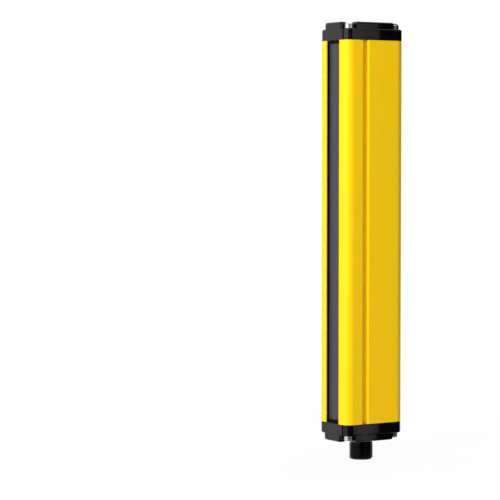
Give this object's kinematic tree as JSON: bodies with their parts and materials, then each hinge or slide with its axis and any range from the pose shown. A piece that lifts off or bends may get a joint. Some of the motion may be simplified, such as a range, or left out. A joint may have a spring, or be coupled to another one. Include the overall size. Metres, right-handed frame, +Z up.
{
  "type": "area sensor",
  "caption": "Slim upright light curtain stick: yellow aluminium profile with a dark front window, black end caps and a round M12 plug connector underneath.",
  "frame": {"origin": "centre of the plug connector's lower end face, which is the bottom centre of the whole stick", "axes": "+Z up along the stick, from the connector to the plain cap; -Y out of the optical window; +X across the width"},
  "size_m": [0.025, 0.035, 0.218],
  "materials": {
    "yellow_powder_coat": "satin yellow powder coat on aluminium",
    "window_tint": "polished, passes infra-red only",
    "seal_rubber": "matt",
    "cap_black": "fine moulded grain",
    "screw_steel": "bright zinc plate",
    "connector_black": "satin black",
    "insert_black": "matt",
    "contact_gold": "gold plate",
    "clear_optic": "clear moulded acrylic",
    "carrier_black": "light-absorbing matt",
    "mask_black": "black anodised sheet",
    "board_green": "solder mask",
    "diode_tint": "dark epoxy",
    "chip_black": "moulded package",
    "can_aluminium": "drawn can",
    "led_body": "white package",
    "spring_brass": "bent strip",
    "lead_jacket": "insulation"
  },
  "bodies": {
    "root": {"housing_profile": "yellow_powder_coat", "front_window": "window_tint", "window_gasket_left": "seal_rubber", "window_gasket_right": "seal_rubber", "window_end_block_top": "seal_rubber", "window_end_block_bottom": "seal_rubber", "top_cap": "cap_black", "bottom_cap": "cap_black", "top_cap_gasket": "seal_rubber", "bottom_cap_gasket": "seal_rubber", "top_cap_screws": "screw_steel", "bottom_cap_screws": "screw_steel", "connector_body": "connector_black", "connector_insert": "insert_black", "connector_pins": "contact_gold", "connector_seal_ring": "seal_rubber", "connector_lock_ring": "connector_black", "lens_strip": "clear_optic", "optics_carrier": "carrier_black", "aperture_mask": "mask_black", "sensor_board": "board_green", "beam_diodes": "diode_tint", "control_board": "board_green", "board_header": "insert_black", "controller_chip": "chip_black", "driver_chips": "chip_black", "capacitors": "can_aluminium", "indicator_leds": "led_body", "light_guide": "clear_optic", "earth_clip": "spring_brass", "internal_leads": "lead_jacket"}
  },
  "joints": []
}
